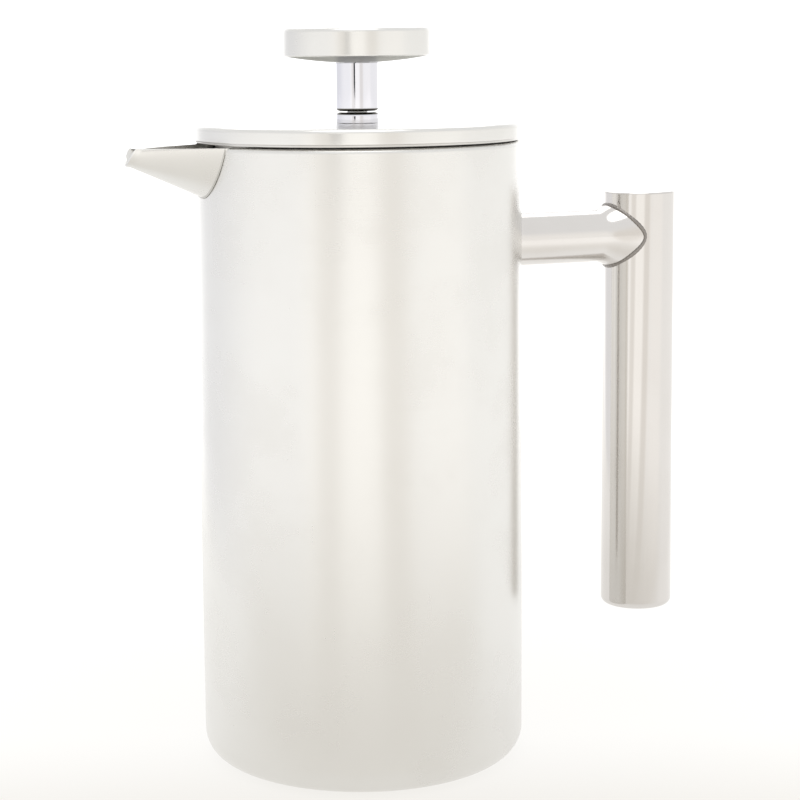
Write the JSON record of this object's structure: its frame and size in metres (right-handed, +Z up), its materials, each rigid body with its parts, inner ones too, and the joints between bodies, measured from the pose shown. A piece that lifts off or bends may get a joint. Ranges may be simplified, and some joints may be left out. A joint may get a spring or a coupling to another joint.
{
  "type": "french press",
  "caption": "Double-walled steel french press with an upright tubular handle on a level arm, an open spout, a lift-off lid and a plunger with a coil-edged mesh filter.",
  "frame": {"origin": "on the pot's axis, in the middle of the flat underside that it stands on", "axes": "+Z up along the pot's axis and the plunger's, +X towards the handle, -X towards the spout, +Y completes a right-handed set"},
  "size_m": [0.1835, 0.101, 0.2262],
  "materials": {
    "polished_steel": "polished",
    "satin_steel": "satin",
    "bright_chrome": "mirror",
    "plain_steel": "drawn and turned",
    "woven_steel": "fine woven wire",
    "silicone": "matt"
  },
  "bodies": {
    "pot": {"outer_shell": "polished_steel", "inner_vessel": "satin_steel", "base_plate": "satin_steel", "spout": "polished_steel", "handle_arm": "polished_steel", "handle_grip": "polished_steel", "grip_cap_top": "polished_steel", "grip_cap_bottom": "polished_steel"},
    "lid": {"lid_cover": "polished_steel", "lid_base": "satin_steel", "lid_skirt": "satin_steel", "lid_boss": "bright_chrome", "boss_washer": "silicone", "boss_nut": "plain_steel"},
    "plunger": {"plunger_rod": "plain_steel", "rod_collar": "plain_steel", "coil_plate": "satin_steel", "coil_spring": "plain_steel", "mesh_screen": "woven_steel", "cross_plate": "satin_steel", "filter_hub": "plain_steel", "knob_sleeve": "bright_chrome", "knob_nut": "plain_steel", "knob_base": "polished_steel", "knob_cap": "polished_steel"}
  },
  "joints": [
    {"name": "lid_lift", "type": "slide", "parent": "pot", "child": "lid", "axis": [0, 0, 1], "range_m": [0, 0.18]},
    {"name": "plunger_press", "type": "slide", "parent": "lid", "child": "plunger", "axis": [0, 0, 1], "range_m": [0, 0.15]}
  ]
}
